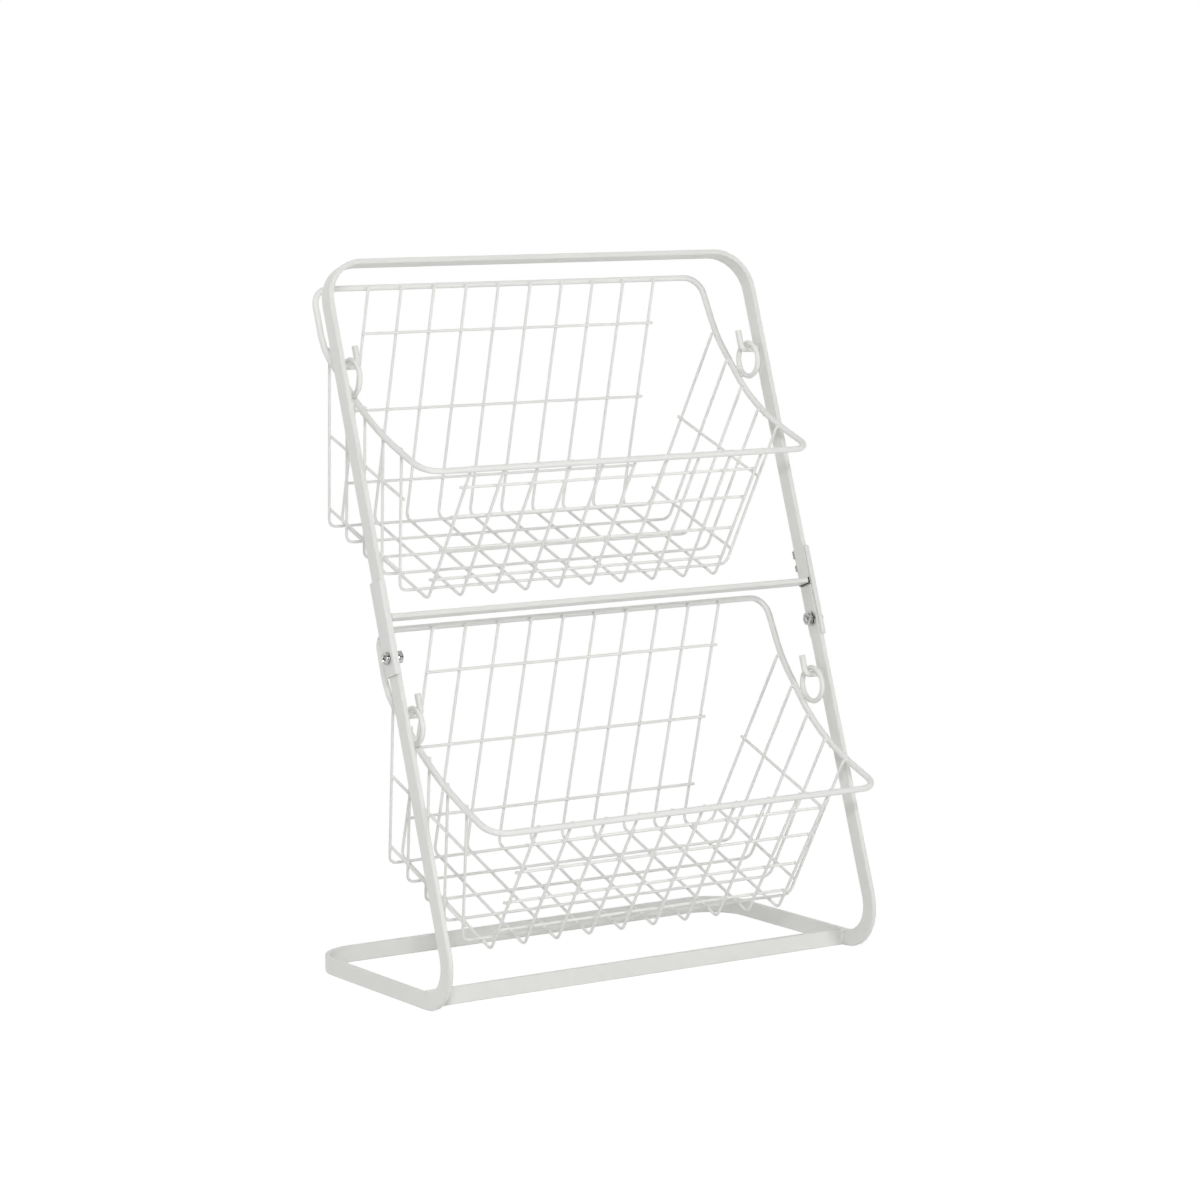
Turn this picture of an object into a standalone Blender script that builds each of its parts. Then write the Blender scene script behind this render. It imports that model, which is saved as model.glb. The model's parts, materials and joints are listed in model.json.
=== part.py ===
# Vegetable basket stand: a leaning frame of flat strip on a base, and two wire baskets
# that hang on hooks by rings and swing. Metres, Z up, origin on the floor under the middle
# of the base front rail.
import bpy
import bmesh
from math import cos, pi, radians, sin, tan
from mathutils import Matrix, Vector

# Stock sizes and the gap left between touching pieces
seat_gap = 0.0003
merge_distance = 0.00003
cut_overrun = 0.02
strip_width = 0.010
strip_thick = 0.003
strip_edge = 0.0004
mesh_wire = 0.0018
rim_wire = 0.0038
ring_wire = 0.0032
hook_rod = 0.0038

# Frame
frame_width = 0.300
frame_slant = 0.4435
frame_lean = radians(18.7)
top_corner_radius = 0.025
foot_bend_radius = 0.027
base_depth = 0.1633
base_corner_radius = 0.028
front_rail_setback = 0.030
leg_split_slant = 0.2305
crossbar_rise = 0.0036

# Sleeves and their screws, set from where the legs part
sleeve_reach_down = 0.0316
sleeve_reach_up = 0.0235
sleeve_sheet = 0.001
sleeve_corner_radius = 0.0012
sleeve_lip_setback = 0.00075
screw_drop = 0.0209
screw_shank = 0.004
screw_head = 0.0072
screw_head_height = 0.0024
screw_head_shares = ((0.45, 1), (0.8, 0.8), (0.96, 0.5), (1, 0.2))
screw_end_reach = 0.0006
recess_length = 0.0044
recess_width = 0.0009
recess_depth = 0.0012
washer_diameter = 0.0088
washer_thick = 0.0008
nut_across_flats = 0.007
nut_height = 0.0026

# Hooks, the upper pair set from the top bar, the lower pair from where the legs part
hook_upper_drop = 0.0625
hook_lower_drop = 0.0547
hook_setback = 0.0065
hook_reach = 0.0116
hook_rise = 0.012
hook_bend_radius = 0.0028

# Basket, seen along its floor: the origin is the sharp lower back edge of the long wires
upper_tilt = radians(20.24)
lower_tilt = radians(21.40)
floor_depth = 0.1072
back_height = 0.1440
front_height = 0.0930
back_flare = radians(5.8)
front_flare = radians(12.06)
wall_bend_radius = 0.004
back_wire_end_rise = 0.0016
wire_end_rise = 0.0002
long_wire_count = 10
outer_wire_inset = 0.0169
cross_wire_count = 5
cross_wire_back_inset = 0.0099
cross_wire_front_inset = 0.0093
side_slope_share = 0.1753
side_bend_radius = 0.0055
back_corner_overhang = 0.001
rim_corner_radius = 0.0115
rim_rise_shares = (0.4845, 0.2946, 0.1299, 0.0350, 0.0020)
back_rail_shares = (0.8181, 0.4875, 0.1736)
front_rail_shares = (0.8317, 0.6109, 0.3659, 0.1325)
side_rail_shares = (0.4260, 0.0906)
rail_overhang = 0.001
weld_sink = 0.0005
ring_outer_diameter = 0.0236
upper_ring_setback = 0.0456
lower_ring_setback = 0.0432
upper_ring_lap = 0.0015
lower_ring_lap = 0.0024
ring_side_gap = 0.0051

# Facets of arcs and round pieces
bend_steps = 4
strip_bend_steps = 8
rim_steps = 6
rim_side_steps = 3
ring_steps = 28
round_sides = 16
tube_sides = 8


def cross_station(index):
    """Distance behind the back edge and rim height at one cross wire."""
    height = front_height + (back_height - front_height) * rim_rise_shares[index]
    return -cross_wire_back_inset - index * cross_wire_pitch, height


def rim_height(setback):
    """Height of the rim's centre line, read between the two nearest cross wires."""
    steps = (setback - cross_wire_back_inset) / cross_wire_pitch
    index = min(max(int(steps), 0), cross_wire_count - 2)
    near, far = cross_station(index)[1], cross_station(index + 1)[1]
    return near + (far - near) * (steps - index)


# Sizes that follow
half_width = frame_width / 2
inner_half_width = half_width - strip_thick
foot_reach = foot_bend_radius * ((1 + sin(frame_lean)) / cos(frame_lean) - 1)
front_y = -front_rail_setback - strip_thick / 2
back_y = front_y + base_depth
toe_y = front_y - foot_reach
foot_centre = Vector((0, front_y + foot_bend_radius, foot_bend_radius))
foot_turn = pi / 2 + frame_lean
lean = Matrix.Translation((0, toe_y, 0)) @ Matrix.Rotation(-frame_lean, 4, 'X')
crossbar_slant = leg_split_slant + crossbar_rise
sleeve_low_slant = leg_split_slant - sleeve_reach_down
sleeve_high_slant = leg_split_slant + sleeve_reach_up
screw_slant = leg_split_slant - screw_drop
hook_upper_slant = frame_slant - hook_upper_drop
hook_lower_slant = leg_split_slant - hook_lower_drop
ring_radius = (ring_outer_diameter - ring_wire) / 2
ring_drop = ring_radius - ring_wire / 2 - hook_rod / 2 - seat_gap
rim_offset = (rim_wire + mesh_wire) / 2 + seat_gap
wire_offset = mesh_wire + seat_gap
side_angle_cos = 1 / (1 + side_slope_share ** 2) ** 0.5
front_wall_length = front_height / cos(front_flare)
cross_wire_pitch = (floor_depth - cross_wire_back_inset - cross_wire_front_inset) / (cross_wire_count - 1)
ring_spacing = (rim_wire + ring_wire) / 2 + seat_gap
ring_side_x = inner_half_width - ring_side_gap - ring_wire / 2 - ring_spacing
side_half_width = ring_side_x - side_slope_share * rim_height(upper_ring_setback)
back_corner_half_width = ring_side_x + back_corner_overhang
outer_wire_x = side_half_width - outer_wire_inset
long_wire_pitch = 2 * outer_wire_x / (long_wire_count - 1)
rail_half_length = outer_wire_x + mesh_wire / 2 + rail_overhang

# Empty the scene and make the two collections
for old in list(bpy.data.objects):
    bpy.data.objects.remove(old, do_unlink=True)
parts = bpy.data.collections.new("vegetable_basket")
cutters = bpy.data.collections.new("cutters")
bpy.context.scene.collection.children.link(parts)
bpy.context.scene.collection.children.link(cutters)


def principled(name, colour, roughness, metallic):
    """Make one plain surface."""
    material = bpy.data.materials.new(name)
    material.use_nodes = True
    shader = material.node_tree.nodes["Principled BSDF"]
    shader.inputs["Base Color"].default_value = (*colour, 1)
    shader.inputs["Roughness"].default_value = roughness
    shader.inputs["Metallic"].default_value = metallic
    return material


# Materials
frame_coat = principled("white_frame_coat", (0.80, 0.80, 0.79), 0.35, 0)
sleeve_coat = principled("white_sleeve_coat", (0.76, 0.76, 0.76), 0.38, 0)
hook_coat = principled("white_hook_coat", (0.80, 0.80, 0.79), 0.36, 0)
rim_coat = principled("white_rim_coat", (0.82, 0.82, 0.81), 0.33, 0)
wire_coat = principled("white_wire_coat", (0.80, 0.80, 0.79), 0.36, 0)
zinc = principled("zinc_plated_steel", (0.62, 0.63, 0.64), 0.30, 1)


def place(name, mesh, material, pivot=None):
    """Put a finished mesh in the parts collection, with its origin on its pivot."""
    for face in mesh.polygons:
        face.use_smooth = True
    mesh.set_sharp_from_angle(angle=radians(35))
    piece = bpy.data.objects.new(name, mesh)
    if pivot is not None:
        mesh.transform(Matrix.Translation(-pivot))
        piece.location = pivot
    mesh.materials.clear()
    mesh.materials.append(material)
    parts.objects.link(piece)
    return piece


def mesh_from(bm, name):
    """Turn worked geometry into a mesh with its faces pointing out."""
    bmesh.ops.recalc_face_normals(bm, faces=bm.faces[:])
    mesh = bpy.data.meshes.new(name)
    bm.to_mesh(mesh)
    bm.free()
    return mesh


def baked(curve, name):
    """Mesh a curve and weld its caps."""
    holder = bpy.data.objects.new(name, curve)
    bpy.context.scene.collection.objects.link(holder)
    view = bpy.context.evaluated_depsgraph_get()
    mesh = bpy.data.meshes.new_from_object(holder.evaluated_get(view))
    bpy.data.objects.remove(holder, do_unlink=True)
    bm = bmesh.new()
    bm.from_mesh(mesh)
    bpy.data.meshes.remove(mesh)
    bmesh.ops.remove_doubles(bm, verts=bm.verts[:], dist=merge_distance)
    return mesh_from(bm, name)


def wire_mesh(name, points, diameter, closed=False):
    """Sweep a round wire along a path."""
    curve = bpy.data.curves.new(name, 'CURVE')
    curve.dimensions = '3D'
    curve.bevel_depth = diameter / 2
    curve.bevel_resolution = (tube_sides - 4) // 2
    curve.use_fill_caps = not closed
    spline = curve.splines.new('POLY')
    spline.points.add(len(points) - 1)
    for knot, point in zip(spline.points, points):
        knot.co = (*point, 1)
    spline.use_cyclic_u = closed
    return baked(curve, name)


def rounded_path(corners, radius, steps):
    """Follow straight runs and round each inner corner with an arc."""
    path = [corners[0]]
    for before, corner, after in zip(corners, corners[1:], corners[2:]):
        back, ahead = (before - corner).normalized(), (after - corner).normalized()
        half = back.angle(ahead) / 2
        centre = corner + (back + ahead).normalized() * (radius / sin(half))
        arm = corner + back * (radius / tan(half)) - centre
        axis = arm.cross(corner + ahead * (radius / tan(half)) - centre).normalized()
        for step in range(steps + 1):
            path.append(centre + Matrix.Rotation((pi - 2 * half) * step / steps, 3, axis) @ arm)
    path.append(corners[-1])
    return path


def box_mesh(name, low, high):
    """Make a box between two corners."""
    bm = bmesh.new()
    size = high - low
    scale = Matrix.Diagonal((*size, 1))
    bmesh.ops.create_cube(bm, size=1, matrix=Matrix.Translation((low + high) / 2) @ scale)
    return mesh_from(bm, name)


def soften(piece):
    """Round the long edges of flat strip."""
    bevel = piece.modifiers.new("strip_edge", 'BEVEL')
    bevel.width = strip_edge
    bevel.segments = 1
    bevel.limit_method = 'ANGLE'
    bevel.angle_limit = radians(40)


def drill(piece):
    """Cut the screw holes."""
    cut = piece.modifiers.new("screw_hole", 'BOOLEAN')
    cut.operation = 'DIFFERENCE'
    cut.solver = 'EXACT'
    cut.object = hole_cutter


class Strip:
    """Flat strip drawn from a first cross-section through straight runs and bends."""

    def __init__(self, centre, across, along):
        self.bm = bmesh.new()
        size = Matrix.Diagonal((strip_thick, strip_width, 1, 1))
        turn = Matrix((across, along, across.cross(along))).transposed().to_4x4()
        place_first = Matrix.Translation(centre) @ turn @ size
        bmesh.ops.create_grid(self.bm, x_segments=1, y_segments=1, size=0.5, matrix=place_first)
        self.end = self.bm.faces[:]

    def grow(self):
        """Draw the end face out by one more piece and return its corners."""
        old, first = self.end, len(self.bm.faces) == 1
        made = bmesh.ops.extrude_face_region(self.bm, geom=old)["geom"]
        self.end = [item for item in made if isinstance(item, bmesh.types.BMFace)]
        if not first:
            bmesh.ops.delete(self.bm, geom=old, context='FACES_ONLY')
        return [item for item in made if isinstance(item, bmesh.types.BMVert)]

    def straight(self, move):
        bmesh.ops.translate(self.bm, verts=self.grow(), vec=move)

    def bend(self, centre, axis, angle):
        turn = Matrix.Rotation(angle / strip_bend_steps, 3, axis)
        for step in range(strip_bend_steps):
            bmesh.ops.rotate(self.bm, verts=self.grow(), cent=centre, matrix=turn)


def make_upper_frame():
    """Two legs and the top bar, one strip bent the easy way at the top corners."""
    side_x = half_width - strip_thick / 2
    low, high = leg_split_slant, frame_slant
    turn_x = half_width - top_corner_radius
    turn_z = high - top_corner_radius
    strip = Strip(Vector((-side_x, strip_width / 2, low)), Vector((1, 0, 0)), Vector((0, 1, 0)))
    strip.straight(Vector((0, 0, turn_z - low)))
    strip.bend((-turn_x, 0, turn_z), (0, 1, 0), pi / 2)
    strip.straight(Vector((2 * turn_x, 0, 0)))
    strip.bend((turn_x, 0, turn_z), (0, 1, 0), pi / 2)
    strip.straight(Vector((0, 0, low - turn_z)))
    mesh = mesh_from(strip.bm, "upper_frame")
    mesh.transform(lean)
    soften(place("upper_frame", mesh, frame_coat))


def make_lower_frame():
    """Lower legs, foot bends, base side rails and back rail, one strip."""
    side_x = half_width - strip_thick / 2
    up = Vector((0, sin(frame_lean), cos(frame_lean)))
    inward = Vector((0, cos(frame_lean), -sin(frame_lean)))
    top = leg_split_slant - seat_gap
    leg_run = top - (foot_centre - Vector((0, toe_y, 0))).dot(up)
    start = Vector((-side_x, toe_y, 0)) + up * top + inward * (strip_width / 2)
    turn_x, turn_y = half_width - base_corner_radius, back_y - base_corner_radius
    side_run = turn_y - foot_centre.y
    strip = Strip(start, Vector((1, 0, 0)), inward)
    strip.straight(up * -leg_run)
    strip.bend(foot_centre, (1, 0, 0), foot_turn)
    strip.straight(Vector((0, side_run, 0)))
    strip.bend((-turn_x, turn_y, 0), (0, 0, 1), -pi / 2)
    strip.straight(Vector((2 * turn_x, 0, 0)))
    strip.bend((turn_x, turn_y, 0), (0, 0, 1), -pi / 2)
    strip.straight(Vector((0, -side_run, 0)))
    strip.bend(foot_centre, (1, 0, 0), -foot_turn)
    strip.straight(up * leg_run)
    piece = place("lower_frame", mesh_from(strip.bm, "lower_frame"), frame_coat)
    soften(piece)
    drill(piece)


def make_base_front_rail():
    """Flat strip on edge between the base side rails."""
    reach = inner_half_width - seat_gap
    front = front_y + front_rail_setback
    low = Vector((-reach, front, 0))
    high = Vector((reach, front + strip_thick, strip_width))
    soften(place("base_front_rail", box_mesh("base_front_rail", low, high), frame_coat))


def make_middle_crossbar():
    """Flat strip between the upper legs."""
    reach = inner_half_width - seat_gap
    low = Vector((-reach, 0, crossbar_slant - strip_thick))
    high = Vector((reach, strip_width, crossbar_slant))
    mesh = box_mesh("middle_crossbar", low, high)
    mesh.transform(lean)
    soften(place("middle_crossbar", mesh, frame_coat))


def make_hole_cutter():
    """One long pin that cuts the screw holes of both sides."""
    bm = bmesh.new()
    turn = Matrix.Translation((0, strip_width / 2, screw_slant)) @ Matrix.Rotation(pi / 2, 4, 'Y')
    radius = screw_shank / 2 + seat_gap
    bmesh.ops.create_cone(bm, cap_ends=True, segments=round_sides, radius1=radius, radius2=radius,
                          depth=frame_width + 2 * cut_overrun, matrix=lean @ turn)
    cutter = bpy.data.objects.new("screw_hole_cutter", mesh_from(bm, "screw_hole_cutter"))
    cutter.hide_render = True
    cutter.display_type = 'WIRE'
    cutters.objects.link(cutter)
    return cutter


def make_sleeve(side, sign):
    """C-shaped sheet channel over the outer face and both edges of the legs."""
    lip = inner_half_width + sleeve_lip_setback
    web = half_width + seat_gap
    low, high = -seat_gap, strip_width + seat_gap
    thick = sleeve_sheet
    outer = [Vector((lip, low - thick, 0)), Vector((web + thick, low - thick, 0)),
             Vector((web + thick, high + thick, 0)), Vector((lip, high + thick, 0))]
    inner = [Vector((lip, high, 0)), Vector((web, high, 0)), Vector((web, low, 0)), Vector((lip, low, 0))]
    outline = rounded_path(outer, sleeve_corner_radius, bend_steps) + inner
    curve = bpy.data.curves.new("sleeve", 'CURVE')
    curve.dimensions = '2D'
    curve.fill_mode = 'BOTH'
    curve.extrude = (sleeve_high_slant - sleeve_low_slant) / 2
    spline = curve.splines.new('POLY')
    spline.points.add(len(outline) - 1)
    for knot, point in zip(spline.points, outline):
        knot.co = (sign * point.x, point.y, 0, 1)
    spline.use_cyclic_u = True
    mesh = baked(curve, "sleeve_" + side)
    middle = (sleeve_low_slant + sleeve_high_slant) / 2
    mesh.transform(lean @ Matrix.Translation((0, 0, middle)))
    drill(place("sleeve_" + side, mesh, sleeve_coat))


def turned(name, profile, closed=False):
    """Turn a profile of radius and height pairs about the Z axis."""
    bm = bmesh.new()
    verts = [bm.verts.new((radius, 0, height)) for radius, height in profile]
    pairs = list(zip(verts, verts[1:])) + ([(verts[-1], verts[0])] if closed else [])
    edges = [bm.edges.new(pair) for pair in pairs]
    bmesh.ops.spin(bm, geom=verts + edges, cent=(0, 0, 0), axis=(0, 0, 1), dvec=(0, 0, 0),
                   angle=2 * pi, steps=round_sides, use_duplicate=False)
    bmesh.ops.remove_doubles(bm, verts=bm.verts[:], dist=merge_distance)
    bmesh.ops.dissolve_degenerate(bm, edges=bm.edges[:], dist=merge_distance)
    return mesh_from(bm, name)


def screw_axis(sign, reach):
    """Turn +Z outward along the screw and set it at a distance from the middle."""
    point = Matrix.Translation((sign * reach, strip_width / 2, screw_slant))
    return lean @ point @ Matrix.Rotation(sign * pi / 2, 4, 'Y')


def make_screw(side, sign):
    """Pan head with a cross recess, and its shank."""
    seat = half_width + seat_gap + sleeve_sheet + seat_gap
    nut_face = inner_half_width - washer_thick - nut_height - 2 * seat_gap
    shank = seat - nut_face + screw_end_reach
    radius, rise = screw_head / 2, screw_head_height
    profile = [(0, rise)] + [(radius * out, rise * up) for out, up in screw_head_shares]
    profile += [(radius, 0), (screw_shank / 2, 0), (screw_shank / 2, -shank), (0, -shank)]
    mesh = turned("screw_" + side, profile)
    mesh.transform(screw_axis(sign, seat))
    piece = place("screw_" + side, mesh, zinc)
    for angle in (pi / 4, -pi / 4):
        low = Vector((-recess_length / 2, -recess_width / 2, rise - recess_depth))
        high = Vector((recess_length / 2, recess_width / 2, rise + recess_depth))
        blade = box_mesh("recess_cutter", low, high)
        blade.transform(screw_axis(sign, seat) @ Matrix.Rotation(angle, 4, 'Z'))
        cutter = bpy.data.objects.new("recess_cutter", blade)
        cutter.hide_render = True
        cutter.display_type = 'WIRE'
        cutters.objects.link(cutter)
        cut = piece.modifiers.new("recess", 'BOOLEAN')
        cut.operation = 'DIFFERENCE'
        cut.solver = 'EXACT'
        cut.object = cutter


def make_washer(side, sign):
    """Flat washer on the inner face of the leg."""
    hole, rim = screw_shank / 2 + seat_gap, washer_diameter / 2
    profile = [(hole, 0), (rim, 0), (rim, washer_thick), (hole, washer_thick)]
    mesh = turned("washer_" + side, profile, closed=True)
    mesh.transform(screw_axis(sign, inner_half_width - seat_gap - washer_thick))
    place("washer_" + side, mesh, zinc)


def make_nut(side, sign):
    """Hexagon nut behind the washer."""
    bm = bmesh.new()
    radius = nut_across_flats / 2 / cos(pi / 6)
    bmesh.ops.create_cone(bm, cap_ends=True, segments=6, radius1=radius, radius2=radius, depth=nut_height)
    mesh = mesh_from(bm, "nut_" + side)
    middle = inner_half_width - washer_thick - 2 * seat_gap - nut_height / 2
    mesh.transform(screw_axis(sign, middle))
    drill(place("nut_" + side, mesh, zinc))


def make_hook(name, sign, slant):
    """Rod welded to the inner face of a leg, its tip turned up along the leg."""
    foot = Vector((sign * (inner_half_width - seat_gap), hook_setback, slant))
    turn = Vector((sign * (inner_half_width - hook_reach), hook_setback, slant))
    tip = turn + Vector((0, 0, hook_rise))
    mesh = wire_mesh(name, rounded_path([foot, turn, tip], hook_bend_radius, bend_steps), hook_rod)
    mesh.transform(lean)
    place(name, mesh, hook_coat)


def side_x(height):
    """Half width of the rim's centre line on the sloping side plane."""
    return side_half_width + side_slope_share * height


def smooth_path(knots, first, last, steps):
    """Draw a smooth curve through knots, with the directions at both ends given."""
    spans = [(after - before).length for before, after in zip(knots, knots[1:])]
    slopes = [first]
    for i in range(1, len(knots) - 1):
        slopes.append((knots[i + 1] - knots[i - 1]) / (spans[i - 1] + spans[i]))
    slopes.append(last)
    path = []
    for i, span in enumerate(spans):
        for step in range(steps):
            t = step / steps
            ease = 3 * t ** 2 - 2 * t ** 3
            pull = slopes[i] * (t ** 3 - 2 * t ** 2 + t) + slopes[i + 1] * (t ** 3 - t ** 2)
            path.append(knots[i] * (1 - ease) + knots[i + 1] * ease + pull * span)
    path.append(knots[-1])
    return path


def rim_points():
    """Closed centre line of the rim, sides curved down from back to front."""
    front_edge = -floor_depth - front_height * tan(front_flare) - rim_offset / cos(front_flare)
    back_edge = back_height * tan(back_flare) + rim_offset / cos(back_flare)
    front_corner = Vector((side_x(front_height), front_edge, front_height))
    back_corner = Vector((back_corner_half_width, back_edge, back_height))
    stations = [cross_station(index) for index in reversed(range(cross_wire_count))]
    knots = [Vector((side_x(height), y, height)) for y, height in stations]
    front_arc = rounded_path([Vector((0, front_edge, front_height)), front_corner, knots[0]],
                             rim_corner_radius, rim_steps)[1:-1]
    back_arc = rounded_path([knots[-1], back_corner, Vector((0, back_edge, back_height))],
                            rim_corner_radius, rim_steps)[1:-1]
    start = (knots[0] - front_corner).normalized()
    finish = (back_corner - knots[-1]).normalized()
    side = smooth_path([front_arc[-1]] + knots + [back_arc[0]], start, finish, rim_side_steps)
    right = front_arc[:-1] + side + back_arc[1:]
    left = [Vector((-point.x, point.y, point.z)) for point in reversed(right)]
    return right + left


def long_wire_points(x):
    """Back wall, floor and front wall of one long wire."""
    back_top = back_height + back_wire_end_rise
    front_top = front_height + wire_end_rise
    corners = [Vector((x, back_top * tan(back_flare), back_top)), Vector((x, 0, 0)),
               Vector((x, -floor_depth, 0)),
               Vector((x, -floor_depth - front_top * tan(front_flare), front_top))]
    return rounded_path(corners, wall_bend_radius, bend_steps)


def cross_wire_points(index):
    """Side walls and floor of one cross wire."""
    y, height = cross_station(index)
    inset = rim_offset / side_angle_cos
    top = height + wire_end_rise
    low = wire_offset
    corners = [Vector((side_x(top) - inset, y, top)), Vector((side_x(low) - inset, y, low)),
               Vector((inset - side_x(low), y, low)), Vector((inset - side_x(top), y, top))]
    return rounded_path(corners, side_bend_radius, bend_steps)


def make_cross_grid(name, seat, pivot):
    """Five cross wires and the four side rails welded on their inner side."""
    first, last = cross_station(0)[0], cross_station(cross_wire_count - 1)[0]
    over = mesh_wire / 2 + rail_overhang
    inset = (rim_offset + mesh_wire - weld_sink) / side_angle_cos
    meshes = []
    for share in side_rail_shares:
        height = share * back_height
        for sign in (1, -1):
            x = sign * (side_x(height) - inset)
            ends = [Vector((x, first + over, height)), Vector((x, last - over, height))]
            meshes.append(wire_mesh(name, ends, mesh_wire))
    for index in range(cross_wire_count):
        meshes.insert(1, wire_mesh(name, cross_wire_points(index), mesh_wire))
    pieces = [bpy.data.objects.new(name, mesh) for mesh in meshes]
    for piece in pieces:
        bpy.context.scene.collection.objects.link(piece)
    for other in pieces[1:]:
        weld = pieces[0].modifiers.new("weld", 'BOOLEAN')
        weld.operation = 'UNION'
        weld.solver = 'EXACT'
        weld.object = other
    view = bpy.context.evaluated_depsgraph_get()
    grid = bpy.data.meshes.new_from_object(pieces[0].evaluated_get(view))
    for piece in pieces:
        bpy.data.objects.remove(piece, do_unlink=True)
    grid.transform(seat)
    place(name, grid, wire_coat, pivot)


def make_rail(name, y, z, seat, pivot):
    """Straight rail across the long wires."""
    ends = [Vector((-rail_half_length, y, z)), Vector((rail_half_length, y, z))]
    mesh = wire_mesh(name, ends, mesh_wire)
    mesh.transform(seat)
    place(name, mesh, wire_coat, pivot)


def make_basket(name, slant, tilt, ring_setback, ring_lap):
    """Rim, rings, long wires, cross grid and rails, hung on one pair of hooks."""
    pivot = lean @ Vector((0, hook_setback, slant))
    turn = Matrix.Rotation(tilt, 4, 'X')
    ring_height = rim_height(ring_setback) + (rim_wire + ring_outer_diameter) / 2 - ring_lap
    ring_centre = Vector((0, -ring_setback, ring_height))
    hang = pivot - Vector((0, 0, ring_drop)) - turn @ ring_centre
    seat = Matrix.Translation(hang) @ turn
    rim = wire_mesh(name + "_rim", rim_points(), rim_wire, closed=True)
    rim.transform(seat)
    place(name + "_rim", rim, rim_coat, pivot)
    for side, sign in (("left", -1), ("right", 1)):
        bm = bmesh.new()
        circle = bmesh.ops.create_circle(bm, segments=tube_sides, radius=ring_wire / 2,
                                         matrix=Matrix.Translation((0, ring_radius, 0)))
        ring_edges = list({edge for vert in circle["verts"] for edge in vert.link_edges})
        bmesh.ops.spin(bm, geom=circle["verts"] + ring_edges, cent=(0, 0, 0), axis=(1, 0, 0),
                       dvec=(0, 0, 0), angle=2 * pi, steps=ring_steps, use_duplicate=False)
        bmesh.ops.remove_doubles(bm, verts=bm.verts[:], dist=merge_distance)
        ring = mesh_from(bm, name + "_ring_" + side)
        ring_x = sign * (side_x(rim_height(ring_setback)) + ring_spacing)
        ring.transform(Matrix.Translation(hang + turn @ ring_centre + Vector((ring_x, 0, 0))))
        place(name + "_ring_" + side, ring, rim_coat, pivot)
    for index in range(long_wire_count):
        label = name + "_long_wire_" + str(index + 1)
        mesh = wire_mesh(label, long_wire_points(index * long_wire_pitch - outer_wire_x), mesh_wire)
        mesh.transform(seat)
        place(label, mesh, wire_coat, pivot)
    make_cross_grid(name + "_cross_grid", seat, pivot)
    for index, share in enumerate(back_rail_shares):
        z = share * back_height
        y = z * tan(back_flare) - wire_offset * cos(back_flare)
        make_rail(name + "_back_rail_" + str(index + 1), y, z + wire_offset * sin(back_flare), seat, pivot)
    for index, share in enumerate(front_rail_shares):
        run = share * front_wall_length
        y = -floor_depth - run * sin(front_flare) + wire_offset * cos(front_flare)
        z = run * cos(front_flare) + wire_offset * sin(front_flare)
        make_rail(name + "_front_rail_" + str(index + 1), y, z, seat, pivot)


# Frame
hole_cutter = make_hole_cutter()
make_upper_frame()
make_lower_frame()
make_base_front_rail()
make_middle_crossbar()
for side, sign in (("left", -1), ("right", 1)):
    make_sleeve(side, sign)
    make_screw(side, sign)
    make_washer(side, sign)
    make_nut(side, sign)
    make_hook("hook_upper_" + side, sign, hook_upper_slant)
    make_hook("hook_lower_" + side, sign, hook_lower_slant)

# Baskets
make_basket("upper_basket", hook_upper_slant, upper_tilt, upper_ring_setback, upper_ring_lap)
make_basket("lower_basket", hook_lower_slant, lower_tilt, lower_ring_setback, lower_ring_lap)
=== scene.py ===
# The two-tier wire basket stand, dressed for its picture. Metres, Z up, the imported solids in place.
import json
import bpy
import bmesh
from math import cos, pi, radians, sin, tan
from mathutils import Matrix, Vector


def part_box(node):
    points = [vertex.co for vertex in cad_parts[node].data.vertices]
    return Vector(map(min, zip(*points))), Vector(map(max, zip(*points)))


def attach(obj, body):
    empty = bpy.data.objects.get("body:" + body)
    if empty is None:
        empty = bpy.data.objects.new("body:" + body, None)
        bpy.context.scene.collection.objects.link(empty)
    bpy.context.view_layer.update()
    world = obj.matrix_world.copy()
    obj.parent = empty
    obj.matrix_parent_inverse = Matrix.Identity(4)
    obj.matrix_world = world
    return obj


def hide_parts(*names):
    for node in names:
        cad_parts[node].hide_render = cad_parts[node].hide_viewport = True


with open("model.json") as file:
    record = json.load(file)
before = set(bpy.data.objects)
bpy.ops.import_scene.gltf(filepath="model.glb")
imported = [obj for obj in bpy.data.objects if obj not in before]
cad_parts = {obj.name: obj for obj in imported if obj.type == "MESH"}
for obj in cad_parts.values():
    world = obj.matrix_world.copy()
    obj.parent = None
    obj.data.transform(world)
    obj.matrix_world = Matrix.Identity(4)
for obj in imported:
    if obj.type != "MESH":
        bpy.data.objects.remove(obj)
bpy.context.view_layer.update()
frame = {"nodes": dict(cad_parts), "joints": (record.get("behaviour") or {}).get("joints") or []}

# Frame: legs, top bar, base and crossbar of flat steel strip, bent cold and coated with satin
# white powder, baked on. Painted shade darkens the strip's edges, which are also a little smoother.
strip_crease = radians(40)
vertex_join = 0.000005
coat_gloss = 0.3
cloud_per_metre = 38
cloud_fade = (0.35, 0.65)
cloud_tone = 0.98
peel_per_metre = 820
grain_per_metre = 5200
grain_height_share = 0.12
finish_spread = 0.08
# The coat's edges are painted darker as shade where they round off, and made a little smoother.
edge_fade = (0.02, 0.2)
edge_shade_share = 0.9
edge_shade_tone = 0.78
edge_polish = 0.05


class Value:
    """One shader value; plain sums with it make Math nodes."""

    def __init__(self, shading, socket):
        self.shading, self.socket = shading, socket

    def sum_node(self, operation, first, second):
        return self.shading.node("ShaderNodeMath", {"operation": operation}, 0, {0: first, 1: second})

    def __add__(self, other):
        return self.sum_node('ADD', self, other)

    def __sub__(self, other):
        return self.sum_node('SUBTRACT', self, other)

    def __rsub__(self, other):
        return self.sum_node('SUBTRACT', other, self)

    def __mul__(self, other):
        return self.sum_node('MULTIPLY', self, other)

    __radd__ = __add__
    __rmul__ = __mul__


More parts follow.
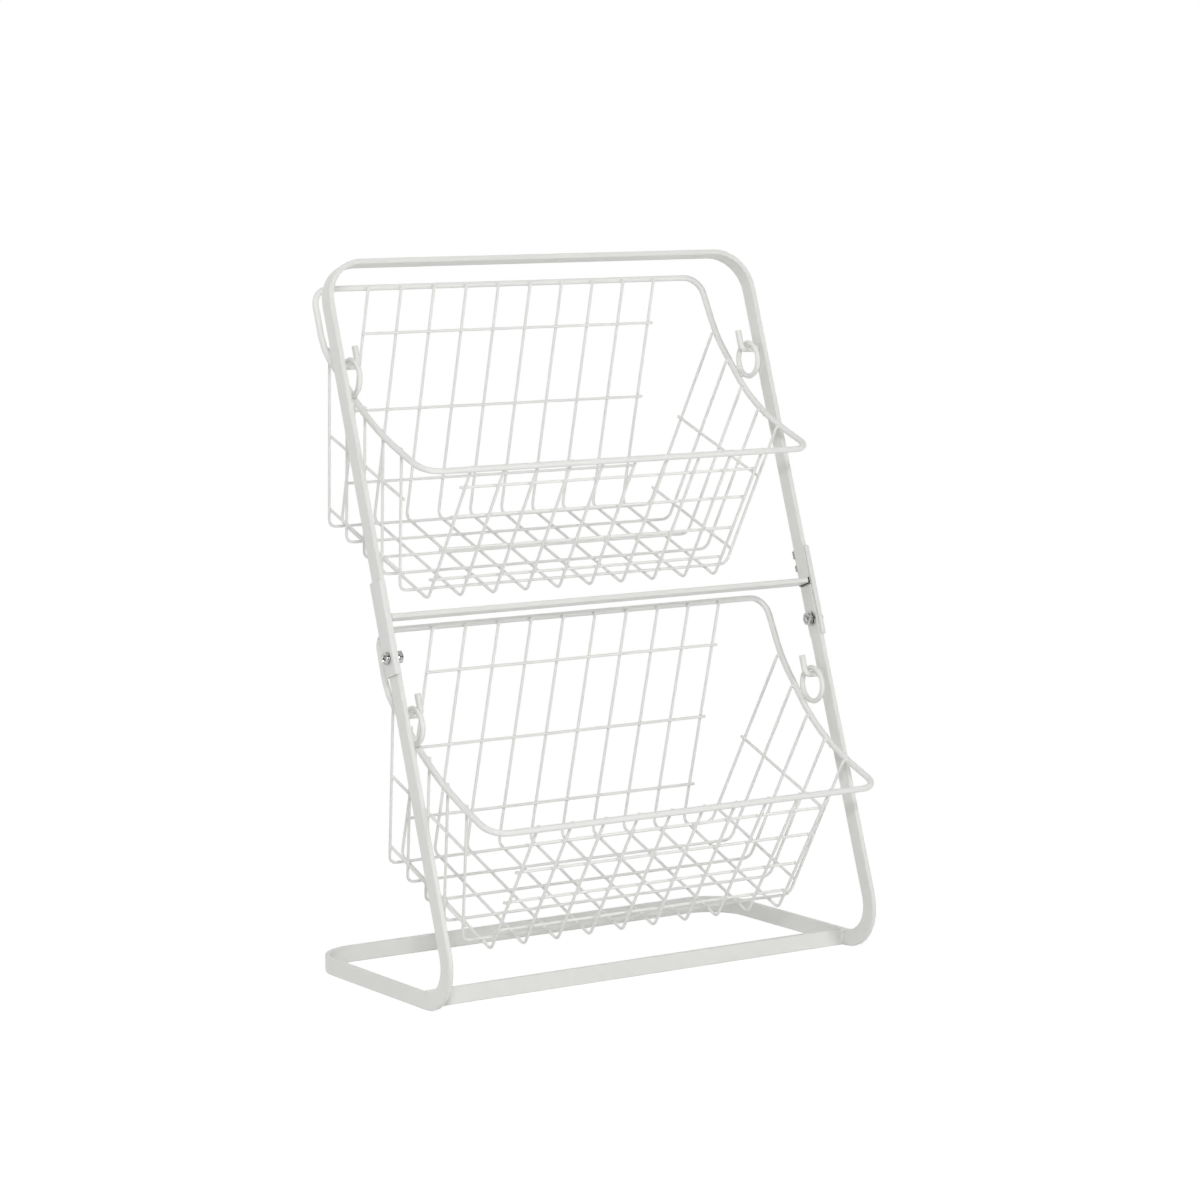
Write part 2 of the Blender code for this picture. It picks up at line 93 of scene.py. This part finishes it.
class Shading:
    """A node tree that is filled one node at a time."""

    def __init__(self, tree):
        self.tree = tree

    def node(self, kind, settings, output, inputs):
        """Add a node with its settings and inputs, and give back one of its outputs."""
        node = self.tree.nodes.new(kind)
        for key, value in settings.items():
            setattr(node, key, value)
        for key, value in inputs.items():
            if isinstance(value, Value):
                self.tree.links.new(value.socket, node.inputs[key])
            else:
                node.inputs[key].default_value = value
        return Value(self, node.outputs[output])

    def place(self):
        """Position on the piece, in metres."""
        return self.node("ShaderNodeTexCoord", {}, "Object", {})

    def noise(self, per_metre, detail=2.0):
        """Cloudy pattern with a number of lumps to the metre."""
        return self.node("ShaderNodeTexNoise", {}, "Fac", {
            "Vector": self.place(), "Scale": per_metre, "Detail": detail})

    def ramp(self, value, low, high):
        """Fade from 0 to 1 as a value goes from low to high."""
        return self.node("ShaderNodeMapRange", {"interpolation_type": 'SMOOTHSTEP'}, 0, {
            "Value": value, "From Min": low, "From Max": high})

    def blend(self, mask, first, second):
        """Colour that goes from first to second with a mask."""
        first, second = [item if isinstance(item, Value) else (*item, 1) for item in (first, second)]
        return self.node("ShaderNodeMix", {"data_type": 'RGBA'}, 2, {0: mask, 6: first, 7: second})


class Surface(Shading):
    """A material and its one shader."""

    def __init__(self, name, colour, roughness, metallic=0.0):
        self.material = bpy.data.materials.new(name)
        self.material.use_nodes = True
        super().__init__(self.material.node_tree)
        self.shader = self.tree.nodes["Principled BSDF"]
        self.shader.inputs["Base Color"].default_value = (*colour, 1)
        self.shader.inputs["Roughness"].default_value = roughness
        self.shader.inputs["Metallic"].default_value = metallic

    def edge_mask(self, radius):
        """Fade that rises where two faces meet within a radius."""
        rounded = self.node("ShaderNodeBevel", {"samples": 6}, 0, {"Radius": radius})
        face = self.node("ShaderNodeNewGeometry", {}, "Normal", {})
        meeting = self.node("ShaderNodeVectorMath", {"operation": 'DOT_PRODUCT'}, "Value",
                            {0: rounded, 1: face})
        return self.ramp(1 - meeting, *edge_fade)

    def feed(self, name, value):
        """Lead a value to the shader."""
        self.tree.links.new(value.socket, self.shader.inputs[name])

    def bump(self, height, depth):
        """Raise the surface by a pattern, depth in metres."""
        self.feed("Normal", self.node("ShaderNodeBump", {}, 0, {"Height": height, "Distance": depth}))


def powder_coat(name, colour, roughness, peel_depth, edge=0.0):
    """Powder coat: orange peel a millimetre across, fine grain, and painted shade on edges, which are
    smoother.
    """
    coat = Surface(name, colour, roughness)
    coat.shader.inputs["Specular IOR Level"].default_value = coat_gloss
    cloud = coat.ramp(coat.noise(cloud_per_metre, detail=3), *cloud_fade)
    tone = coat.blend(cloud, tuple(channel * cloud_tone for channel in colour), colour)
    peel = coat.noise(peel_per_metre)
    grain = coat.noise(grain_per_metre)
    finish = roughness - finish_spread / 2 + finish_spread * grain
    # Painted shade: the edges are darkened, and also made a little smoother.
    if edge:
        edge_shade_and_polish = coat.edge_mask(edge)
        tone = coat.blend(edge_shade_and_polish * edge_shade_share, tone, tuple(channel * edge_shade_tone for channel in colour))
        finish = finish - edge_polish * edge_shade_and_polish
    coat.feed("Base Color", tone)
    coat.feed("Roughness", finish)
    coat.bump(peel + grain_height_share * grain, peel_depth)
    return coat.material


def shade(names, material, crease=strip_crease):
    """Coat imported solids, with their facets welded and shaded round up to an angle."""
    for name in names:
        piece = frame["nodes"][name]
        mesh = piece.data
        for number in range(len(mesh.materials)):
            mesh.materials[number] = material
        for old in ("custom_normal", "sharp_face", "sharp_edge"):
            if old in mesh.attributes:
                mesh.attributes.remove(mesh.attributes[old])
        for face in mesh.polygons:
            face.use_smooth = True
        weld = piece.modifiers.new("weld", 'WELD')
        weld.merge_threshold = vertex_join
        split = piece.modifiers.new("split", 'EDGE_SPLIT')
        split.use_edge_sharp = False
        split.split_angle = crease


frame_coat = powder_coat("white_frame_coat", colour=(0.80, 0.805, 0.775), roughness=0.36,
                         peel_depth=0.000012, edge=0.0005)
shade(["upper_frame", "lower_frame", "base_front_rail", "middle_crossbar"], frame_coat)

# Frame welds: a bead of weld steel across each end of the crossbar and of the front rail, laid by
# hand and coated over in white. The one at the front rail's right front corner is thick and rough.
# The legs' direction comes from the two hinge lines.
x_axis = Vector((1, 0, 0))
hinge = {joint["child"]: Vector(joint["pos_m"]) for joint in frame["joints"]}
leg_up = (hinge["upper_basket"] - hinge["lower_basket"]).normalized()
leg_back = leg_up.cross(x_axis)
strip_width = 0.010
strip_thick = 0.003
weld_coat = powder_coat("white_weld_coat", colour=(0.79, 0.795, 0.765), roughness=0.42,
                        peel_depth=0.00004)
strip_bead = 0.0008
ripple_per_drop = 2.3
ripple_per_metre = 900
even_ripple = 0.14
skin_steps_per_radius = 5
crossbar_weld_reach = strip_width * 0.4
crossbar_weld_drops = 17
rail_weld_foot = strip_width * 0.12
rail_weld_top = strip_width * 0.885
rail_weld_drops = 18
rough_bead = 0.00104
rough_ripple = 0.35


def finished(bm, name, material, body, crease=strip_crease):
    """Turn worked geometry into a shown piece that rides a body, shaded round up to an angle."""
    bmesh.ops.recalc_face_normals(bm, faces=bm.faces[:])
    mesh = bpy.data.meshes.new(name)
    bm.to_mesh(mesh)
    bm.free()
    for face in mesh.polygons:
        face.use_smooth = True
    mesh.set_sharp_from_angle(angle=crease)
    mesh.materials.append(material)
    piece = bpy.data.objects.new(name, mesh)
    bpy.context.scene.collection.objects.link(piece)
    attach(piece, body)
    return piece


def bead(name, points, radius, material, body, ripple=even_ripple):
    """Weld bead: drops in a row, melted into one skin; ripple is a share of the drops' radius."""
    bm = bmesh.new()
    for number, point in enumerate(points):
        size = radius * (1 + ripple * sin(ripple_per_drop * number + point.x * ripple_per_metre))
        bmesh.ops.create_icosphere(bm, subdivisions=2, radius=size, matrix=Matrix.Translation(point))
    piece = finished(bm, name, material, body)
    melt = piece.modifiers.new("melt", 'REMESH')
    melt.mode = 'VOXEL'
    melt.voxel_size = radius / skin_steps_per_radius
    melt.use_smooth_shade = True


def middle(name):
    """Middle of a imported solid's box."""
    low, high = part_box(name)
    return (low + high) / 2


def end_face(name, side):
    """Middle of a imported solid's box, moved out to its left or right end."""
    low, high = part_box(name)
    centre = middle(name)
    return Vector((low.x if side == "left" else high.x, centre.y, centre.z))


def row(first, last, count):
    """Places in a straight row, with both of its ends."""
    return [first + (last - first) * step / (count - 1) for step in range(count)]


for side in ("left", "right"):
    seat = end_face("middle_crossbar", side) + leg_up * strip_thick / 2
    reach = leg_back * crossbar_weld_reach
    bead("crossbar_weld_" + side, row(seat - reach, seat + reach, crossbar_weld_drops), strip_bead,
         weld_coat, "stand")
    rail_low, rail_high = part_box("base_front_rail")
    for face, face_y in (("front", rail_low.y), ("back", rail_high.y)):
        foot = Vector((end_face("base_front_rail", side).x, face_y, rail_low.z + rail_weld_foot))
        top = Vector((foot.x, face_y, rail_low.z + rail_weld_top))
        rough = side == "right" and face == "front"
        bead("front_rail_weld_" + side + "_" + face, row(foot, top, rail_weld_drops),
             rough_bead if rough else strip_bead, weld_coat, "stand",
             rough_ripple if rough else even_ripple)

# Crossbar's right gap shadow: a thin dark line painted as the shadow in the gap where the
# crossbar's end meets the leg. It runs under the crossbar's end and up its front edge.
gap_shadow_coat = powder_coat("painted_gap_shadow", colour=(0.03, 0.03, 0.027), roughness=0.5,
                        peel_depth=0.00002)
gap_shadow_radius = 0.00055
seam_under_drops = 25
seam_front_drops = 9
seam_corner = end_face("middle_crossbar", "right") - leg_back * strip_width / 2 - leg_up * strip_thick / 2
seam_under = row(seam_corner + leg_back * strip_width, seam_corner, seam_under_drops)
seam_front = row(seam_corner, seam_corner + leg_up * strip_thick, seam_front_drops)
bead("crossbar_gap_shadow_right", seam_under + seam_front[1:], gap_shadow_radius, gap_shadow_coat, "stand")

# Sleeves: channels folded from thin steel sheet round the leg joints, in the same white coat. Two
# short grey welds on the back edge hold each one to its upper leg.
sleeve_coat = powder_coat("white_sleeve_coat", colour=(0.79, 0.795, 0.77), roughness=0.38,
                          peel_depth=0.000012, edge=0.0004)
spot_coat = powder_coat("grey_weld_spot_coat", colour=(0.46, 0.46, 0.44), roughness=0.42,
                        peel_depth=0.00002)
sleeve_bead = 0.0008
sleeve_weld_spans = ((0.0225, 0.0260), (0.0146, 0.0170))
sleeve_weld_setback = 0.0065
sleeve_weld_drops = 7
shade(["sleeve_left", "sleeve_right"], sleeve_coat)
for side, inner in (("left", "right"), ("right", "left")):
    lip = end_face("sleeve_" + side, inner) + leg_back * sleeve_weld_setback
    for number, (low_reach, high_reach) in enumerate(sleeve_weld_spans, 1):
        drops = row(lip + leg_up * low_reach, lip + leg_up * high_reach, sleeve_weld_drops)
        bead("sleeve_weld_" + side + "_" + str(number), drops, sleeve_bead, spot_coat, "stand")

# Screws, washers and nuts: turned and pressed steel, zinc plated, so bright metal with fine marks. Its
# colour is clouded in dark and light patches, partly the plating's own cloud and partly painted
# reflection. One set goes through each sleeve and both legs in it.
zinc_middle = (0.44, 0.44, 0.43)
zinc_dark = (0.26, 0.26, 0.25)
zinc_light = (0.62, 0.62, 0.61)
zinc_patches_per_metre = 700
zinc_smears_per_metre = 3000
zinc_marks_per_metre = 9000
zinc_mark_depth = 0.000004
zinc_least_roughness = 0.05
zinc_smear_roughness = 0.12
zinc = Surface("zinc_plated_steel", zinc_middle, roughness=0.14, metallic=1.0)
# Dark and light patches of the metal's colour: partly plating cloud, partly painted reflection.
zinc_cloud_and_reflection = zinc.ramp(zinc.noise(zinc_patches_per_metre, detail=3), *cloud_fade)
zinc_smear = zinc.noise(zinc_smears_per_metre)
zinc.feed("Base Color", zinc.blend(zinc_cloud_and_reflection, zinc_dark, zinc_light))
zinc.feed("Roughness", zinc_least_roughness + zinc_smear_roughness * zinc_smear)
zinc.bump(zinc.noise(zinc_marks_per_metre), zinc_mark_depth)
turned_sides = 72
turned_join = 0.000001


def turned(section, start, sign, trim=None):
    """Turn a section of (radius, length) pairs round the X axis; trim can pull each radius in.

    A section that starts off the axis is closed into a ring.
    """
    bm = bmesh.new()
    loops = []
    for radius, length in section:
        loop = []
        for step in range(turned_sides):
            angle = 2 * pi * step / turned_sides
            reach = min(radius, trim(angle)) if trim else radius
            offset = Vector((sign * length, reach * cos(angle), reach * sin(angle)))
            loop.append(bm.verts.new(start + offset))
        loops.append(loop)
    if section[0][0]:
        loops.append(loops[0])
    for near, far in zip(loops, loops[1:]):
        for step in range(turned_sides):
            after = (step + 1) % turned_sides
            bm.faces.new((near[step], near[after], far[after], far[step]))
    bmesh.ops.remove_doubles(bm, verts=bm.verts[:], dist=turned_join)
    return bm


# Screw: pan head with a cross recess, which is pressed into it with tapered walls, and a shank
# with a rolled thread near its end. The head's section is in shares of its radius and height.
head_radius = 0.0036
head_height = 0.0024
head_shares = ((0, 0), (0.40, 0), (0.62, 0.05), (0.78, 0.14), (0.90, 0.31), (0.97, 0.55), (1, 0.8),
               (1, 0.95), (0.97, 1))
screw_crease = radians(35)
shank_radius = 0.002
thread_pitch = 0.0007
thread_depth = 0.0004
thread_ridges = 7
recess_half_length = 0.0022
recess_half_width = 0.00045
recess_depth = 0.0012
recess_mouth_share = 1.25
recess_foot_share = 0.55
recess_turn = radians(28)


def cross_outline(half_length, half_width):
    """Corners of a cross, in order, as pairs across the X axis."""
    arm = [(half_width, half_width), (half_length, half_width), (half_length, -half_width)]
    corners = []
    for quarter in range(4):
        turn = recess_turn - quarter * pi / 2
        corners += [(y * cos(turn) - z * sin(turn), y * sin(turn) + z * cos(turn)) for y, z in arm]
    return corners


def recess_punch(top, sign):
    """Tapered cross that sits half in a screw head, its mouth above the top."""
    bm = bmesh.new()
    loops = []
    for length, share in ((-recess_depth, recess_mouth_share), (recess_depth, recess_foot_share)):
        outline = cross_outline(recess_half_length * share, recess_half_width * share)
        loops.append([bm.verts.new(top + Vector((sign * length, y, z))) for y, z in outline])
    mouth, foot = loops
    bm.faces.new(mouth)
    bm.faces.new(foot)
    for step in range(len(mouth)):
        after = (step + 1) % len(mouth)
        bm.faces.new((mouth[step], mouth[after], foot[after], foot[step]))
    return bm


def workpiece(name, bm):
    """Object that stands in the scene only while the recess is cut."""
    bmesh.ops.recalc_face_normals(bm, faces=bm.faces[:])
    mesh = bpy.data.meshes.new(name)
    bm.to_mesh(mesh)
    item = bpy.data.objects.new(name, mesh)
    bpy.context.scene.collection.objects.link(item)
    return item


def cut_recess(bm, top, sign):
    """Cut the cross recess into a screw head."""
    blank = workpiece("screw_blank", bm)
    punch = workpiece("screw_recess", recess_punch(top, sign))
    cut = blank.modifiers.new("recess", 'BOOLEAN')
    cut.operation = 'DIFFERENCE'
    cut.solver = 'EXACT'
    cut.object = punch
    worked = blank.evaluated_get(bpy.context.evaluated_depsgraph_get())
    bm.clear()
    bm.from_mesh(bpy.data.meshes.new_from_object(worked))
    for item in (blank, punch):
        bpy.data.objects.remove(item, do_unlink=True)


for side, sign in (("left", 1), ("right", -1)):
    top = end_face("screw_" + side, side)
    length = 2 * abs(top.x - middle("screw_" + side).x)
    thread_start = length - thread_ridges * thread_pitch
    section = [(head_radius * wide, head_height * deep) for wide, deep in head_shares]
    section.append((shank_radius, head_height))
    for ridge in range(thread_ridges):
        section.append((shank_radius - thread_depth, thread_start + thread_pitch * ridge))
        section.append((shank_radius, thread_start + thread_pitch * (ridge + 0.5)))
    section += [(shank_radius - thread_depth, length), (0, length)]
    bm = turned(section, top, sign)
    cut_recess(bm, top, sign)
    screw = finished(bm, "pan_head_screw_" + side, zinc.material, "stand",
                     screw_crease)
    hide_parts("screw_" + side)

# Nut: a pressed hexagon, its corners taken down by a cone at both faces and its hole countersunk.
# It is run up the screw's thread against the washer.
nut_flats = 0.007
nut_corner_radius = nut_flats / 2 / cos(pi / 6)
nut_face_radius = 0.0037
nut_countersink = 0.0003
nut_turn = radians(12)
cone_slope = radians(30)
cone_steps = 4
flat_part_crease = radians(25)


def hexagon(angle):
    """Distance from the middle of the nut to its side, in one direction."""
    return nut_flats / 2 / cos((angle + nut_turn) % (pi / 3) - pi / 6)


def two_faced(section, thick):
    """Section of one face, with its mirror image for the other face."""
    return section + [(radius, thick - length) for radius, length in reversed(section)]


for side in ("left", "right"):
    start = end_face("nut_" + side, "left")
    thick = 2 * (middle("nut_" + side).x - start.x)
    section = [(shank_radius, nut_countersink), (shank_radius + nut_countersink, 0)]
    for step in range(cone_steps + 1):
        wider = (nut_corner_radius - nut_face_radius) * step / cone_steps
        section.append((nut_face_radius + wider, wider * tan(cone_slope)))
    nut = finished(turned(two_faced(section, thick), start, 1, hexagon), "chamfered_nut_" + side,
                   zinc.material, "stand", flat_part_crease)
    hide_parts("nut_" + side)

# Washer: a flat ring stamped from sheet, with its four edges broken. It lies between the leg's
# inner face and the nut.
washer_hole_radius = 0.0022
washer_edge = 0.00012
for side in ("left", "right"):
    start = end_face("washer_" + side, "left")
    thick = 2 * (middle("washer_" + side).x - start.x)
    washer_low, washer_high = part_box("washer_" + side)
    washer_radius = (washer_high.z - washer_low.z) / 2
    section = [(washer_hole_radius, washer_edge), (washer_hole_radius + washer_edge, 0),
               (washer_radius - washer_edge, 0), (washer_radius, washer_edge)]
    washer = finished(turned(two_faced(section, thick), start, 1), "flat_washer_" + side,
                      zinc.material, "stand", flat_part_crease)
    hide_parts("washer_" + side)

# Hooks: round steel rod with the tip bent up, in white powder coat. Each is welded end on to the
# inner face of a leg, with a bead all round its foot.
hook_coat = powder_coat("white_hook_coat", colour=(0.81, 0.815, 0.785), roughness=0.36,
                        peel_depth=0.00001)
hook_rod = 0.0038
hook_bead = 0.0008
hook_weld_radius = hook_rod * 0.52
hook_weld_drops = 16
rod_crease = radians(50)


def circle(centre, first, second, radius, count):
    """Places round a circle that starts in one direction and turns toward another."""
    turns = [2 * pi * step / count for step in range(count)]
    return [centre + (first * cos(turn) + second * sin(turn)) * radius for turn in turns]


for tier in ("upper", "lower"):
    for side in ("left", "right"):
        hook = "hook_" + tier + "_" + side
        shade([hook], hook_coat, rod_crease)
        foot = hinge[tier + "_basket"].copy()
        foot.x = end_face(hook, side).x
        drops = circle(foot, leg_up, leg_back, hook_weld_radius, hook_weld_drops)
        bead("hook_weld_" + tier + "_" + side, drops, hook_bead, weld_coat, "stand")

# Baskets: rims and hanging rings bent from thick steel wire, and grids of thin wire, all in white
# powder coat. The coat lies fuller and smoother on wire than on the strip.
rim_coat = powder_coat("white_rim_coat", colour=(0.83, 0.835, 0.81), roughness=0.34,
                       peel_depth=0.000008)
wire_coat = powder_coat("white_wire_coat", colour=(0.85, 0.855, 0.83), roughness=0.36,
                        peel_depth=0.000005)
for basket in ("upper_basket", "lower_basket"):
    thick_names = [basket + "_rim", basket + "_ring_left", basket + "_ring_right"]
    thin_names = [name for name in frame["nodes"] if name.startswith(basket) and name not in thick_names]
    shade(thick_names, rim_coat, rod_crease)
    shade(thin_names, wire_coat, rod_crease)

# Basket welds: a drop at each crossing of two wires, a bead between each ring and the rim, and a
# collar where the rim's wire is butted, all coated over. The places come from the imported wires.
thin_wire = 0.0018
thick_wire = 0.0038
ring_wire = 0.0032
air = 0.0003
long_wires = 10
rails_on = {"back": 3, "front": 4}
wire_drop = 0.00092
rim_drop = 0.00105
ring_bead = 0.001
ring_weld_drops = 11
ring_weld_pitch = radians(4)
collar_bead = 0.0006
collar_drops = 20
collar_share = 0.2


def heart(points):
    """Middle of the box round some points."""
    low = Vector([min(point[axis] for point in points) for axis in range(3)])
    high = Vector([max(point[axis] for point in points) for axis in range(3)])
    return (low + high) / 2


def weld_drops(name, places, radius, material, body):
    """Weld drops in one piece."""
    bm = bmesh.new()
    for point in places:
        bmesh.ops.create_icosphere(bm, subdivisions=2, radius=radius, matrix=Matrix.Translation(point))
    finished(bm, name, material, body)


def long_wire_places(basket):
    """Where the long wires stand from left to right."""
    return [middle(basket + "_long_wire_" + str(number + 1)).x for number in range(long_wires)]


def wall_crossings(basket, wall, rim_run):
    """Places on the back or front wall: rails on long wires, then long wires on the rim."""
    wire_xs = long_wire_places(basket)
    rails = [middle(basket + "_" + wall + "_rail_" + str(number + 1)) for number in range(rails_on[wall])]
    wall_up = (rails[0] - rails[-1]).normalized()
    outward = wall_up.cross(x_axis) if wall == "back" else x_axis.cross(wall_up)
    on_rails = [Vector((x, rail.y, rail.z)) + outward * (thin_wire + air) / 2
                for x in wire_xs for rail in rails]
    on_rim = [Vector((x, rim_run.y, rim_run.z)) - outward * (thick_wire + air) / 2 - wall_up * thin_wire / 4
              for x in wire_xs]
    return on_rails, on_rim


def floor_runs(corners):
    """Middle of each cross wire's run over the floor, from back to front."""
    floor_half = min(abs(corner.x) for corner in corners)
    on_floor = [corner for corner in corners if abs(corner.x) < floor_half + air]
    on_floor.sort(key=lambda corner: -corner.y)
    groups = [[on_floor[0]]]
    for before, corner in zip(on_floor, on_floor[1:]):
        if before.y - corner.y > thin_wire:
            groups.append([])
        groups[-1].append(corner)
    return [heart(group) for group in groups]


def cross_wire_ends(corners, runs, sign, forward, basket_up):
    """Top end of each cross wire on one side of the basket."""
    ends = []
    for run in runs:
        wire = [corner for corner in corners
                if corner.x * sign > 0 and abs((corner - run).dot(forward)) < thin_wire]
        top = max(corner.dot(basket_up) for corner in wire)
        ends.append(heart([corner for corner in wire if corner.dot(basket_up) > top - 2 * air]))
    return ends


def weld_ring(basket, side, rim_line):
    """Bead where the ring lies closest to the rim."""
    ring = basket + "_ring_" + side
    ring_low, ring_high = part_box(ring)
    centre = middle(ring)
    run = (rim_line[2] - rim_line[1]).normalized()
    foot = rim_line[1] + run * (centre - rim_line[1]).dot(run)
    reach = Vector((0, foot.y - centre.y, foot.z - centre.z))
    radius = (reach.length + (ring_high.z - ring_low.z - ring_wire) / 2) / 2
    drops = []
    for step in range(ring_weld_drops):
        turn = Matrix.Rotation(ring_weld_pitch * (step - ring_weld_drops // 2), 3, 'X')
        drop = centre + turn @ reach.normalized() * radius
        drop.x = (centre.x + foot.x) / 2
        drops.append(drop)
    bead(ring + "_weld", drops, ring_bead, weld_coat, basket)


def weld_rim_butt(basket, rim_line):
    """Collar round the rim's wire between its fourth and fifth cross wires."""
    along = (rim_line[4] - rim_line[3]).normalized()
    across = along.cross(x_axis).normalized()
    joint = rim_line[3] + (rim_line[4] - rim_line[3]) * collar_share
    drops = circle(joint, across, along.cross(across), thick_wire / 2 - air, collar_drops)
    bead(basket + "_rim_butt_weld", drops, collar_bead, weld_coat, basket)


for basket in ("upper_basket", "lower_basket"):
    rim_low, rim_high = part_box(basket + "_rim")
    rim_inset = Vector((0, thick_wire / 2, thick_wire / 2))
    back_rails, back_rim = wall_crossings(basket, "back", rim_high - rim_inset)
    front_rails, front_rim = wall_crossings(basket, "front", rim_low + rim_inset)
    corners = [vertex.co.copy() for vertex in frame["nodes"][basket + "_cross_grid"].data.vertices]
    runs = floor_runs(corners)
    forward = (runs[-1] - runs[0]).normalized()
    basket_up = forward.cross(x_axis)
    floor_crossings = [Vector((x, run.y, run.z)) - basket_up * (thin_wire + air) / 2
                       for run in runs for x in long_wire_places(basket)]
    rim_crossings = back_rim + front_rim
    for side, sign in (("left", -1), ("right", 1)):
        ends = cross_wire_ends(corners, runs, sign, forward, basket_up)
        rise = ends[0] - ends[-1]
        slope = abs(rise.x) / rise.dot(basket_up)
        outward = (x_axis * sign - basket_up * slope).normalized()
        rim_crossings += [end + outward * (thin_wire + air) / 2 for end in ends]
        rim_line = [end + outward * (thick_wire + thin_wire + 2 * air) / 2 for end in ends]
        weld_ring(basket, side, rim_line)
        if side == "right":
            weld_rim_butt(basket, rim_line)
    weld_drops(basket + "_wire_welds", back_rails + front_rails + floor_crossings, wire_drop, wire_coat,
               basket)
    weld_drops(basket + "_rim_welds", rim_crossings, rim_drop, wire_coat, basket)

# Floor: a wide sheet of pale matt paper under the stand. It takes the stand's shadow near the
# feet and goes over to plain white away from them.
floor_size = 14.0
floor_fade = (0.25, 0.65)
black = (0.0, 0.0, 0.0)
white = (1.0, 1.0, 1.0)
paper_tone = (0.80, 0.80, 0.80)
near_tone = (0.40, 0.40, 0.40)
near_glow = (0.76, 0.76, 0.76)


def background_rays(shading):
    """Mask of the rays that meet the plain background: from the camera, mirrored and let through."""
    straight, mirrored, through = [
        shading.node("ShaderNodeLightPath", {}, output, {})
        for output in ("Is Camera Ray", "Is Glossy Ray", "Is Transmission Ray")]
    return straight + mirrored + through


paper = Surface("floor_paper", paper_tone, roughness=0.9)
paper.shader.inputs["Specular IOR Level"].default_value = 0.0
paper.shader.inputs["Emission Strength"].default_value = 1.0
from_stand = paper.node("ShaderNodeVectorMath", {"operation": 'LENGTH'}, "Value", {0: paper.place()})
far = paper.ramp(from_stand, *floor_fade)
seen = background_rays(paper)
paper.feed("Base Color", paper.blend(seen, paper_tone, paper.blend(far, near_tone, black)))
paper.feed("Emission Color", paper.blend(seen, black, paper.blend(far, near_glow, white)))
sheet = bmesh.new()
bmesh.ops.create_grid(sheet, x_segments=1, y_segments=1, size=floor_size / 2)
floor_mesh = bpy.data.meshes.new("floor")
sheet.to_mesh(floor_mesh)
sheet.free()
floor_mesh.materials.append(paper.material)
floor = bpy.data.objects.new("floor", floor_mesh)
floor.location.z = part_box("lower_frame")[0].z
bpy.context.scene.collection.objects.link(floor)

# Studio light: a white room, brighter on the left and dim behind the camera, with a wide soft
# lamp at the front right, a smaller one at the front left and a weak wide one above. The camera
# and mirroring surfaces see plain white behind the stand.
room_strength = 0.43
room_dim = 0.2
room_left = 2.2
wall_fade = (0.1, 0.7)
world = bpy.data.worlds.new("studio")
bpy.context.scene.world = world
world.use_nodes = True
studio = Shading(world.node_tree)
world.node_tree.nodes.clear()
direction = studio.node("ShaderNodeTexCoord", {}, "Generated", {})
rightward = studio.node("ShaderNodeSeparateXYZ", {}, "X", {0: direction})
backward = studio.node("ShaderNodeSeparateXYZ", {}, "Y", {0: direction})
left_side = studio.ramp(0 - rightward, *wall_fade)
camera_side = studio.ramp(0 - backward, *wall_fade)
walls = studio.blend(camera_side, studio.blend(left_side, white, (room_left,) * 3), (room_dim,) * 3)
room = studio.node("ShaderNodeBackground", {}, 0, {"Color": walls, "Strength": room_strength})
plain = studio.blend(camera_side, white, (room_strength * room_dim,) * 3)
backdrop = studio.node("ShaderNodeBackground", {}, 0, {"Color": plain, "Strength": 1.0})
shown = studio.node("ShaderNodeMixShader", {}, 0, {0: background_rays(studio), 1: room, 2: backdrop})
output = world.node_tree.nodes.new("ShaderNodeOutputWorld")
world.node_tree.links.new(shown.socket, output.inputs["Surface"])
lamp_aim = Vector((0, 0.05, 0.2))


def lamp(name, place, size, power):
    """Square soft lamp turned to the middle of the stand."""
    light = bpy.data.lights.new(name, 'AREA')
    light.shape = 'SQUARE'
    light.size = size
    light.energy = power
    holder = bpy.data.objects.new(name, light)
    holder.location = place
    holder.rotation_euler = (lamp_aim - Vector(place)).to_track_quat('-Z', 'Y').to_euler()
    bpy.context.scene.collection.objects.link(holder)


lamp("front_lamp", place=(0.9, -2.4, 0.5), size=1.0, power=20.4)
lamp("left_lamp", place=(-1.25, -1.95, 1.0), size=0.3, power=20)
lamp("top_lamp", place=(-0.2, -0.2, 2.4), size=1.6, power=6)

# Camera: where the photograph was taken from, at the front left and a little above the stand.
# Its place, turn and lens were worked out from the frame's corners.
photo_size = 1200
focal_pixels = 3717.75
sensor = 36.0
camera_place = Vector((-1.19494, -1.77722, 0.48332))
yaw = radians(33.314)
pitch = radians(6.956)
roll = radians(-0.43)
level_right = Vector((cos(yaw), -sin(yaw), 0))
ahead = Vector((sin(yaw) * cos(pitch), cos(yaw) * cos(pitch), -sin(pitch)))
level_up = level_right.cross(ahead)
camera_right = level_right * cos(roll) + level_up * sin(roll)
camera_up = level_up * cos(roll) - level_right * sin(roll)
lens = bpy.data.cameras.new("camera")
lens.sensor_fit = 'HORIZONTAL'
lens.sensor_width = sensor
lens.lens = focal_pixels / photo_size * sensor
camera = bpy.data.objects.new("camera", lens)
axes = Matrix((camera_right, camera_up, -ahead)).transposed()
camera.matrix_world = Matrix.Translation(camera_place) @ axes.to_4x4()
bpy.context.scene.collection.objects.link(camera)
bpy.context.scene.camera = camera
bpy.context.scene.view_settings.view_transform = 'Standard'
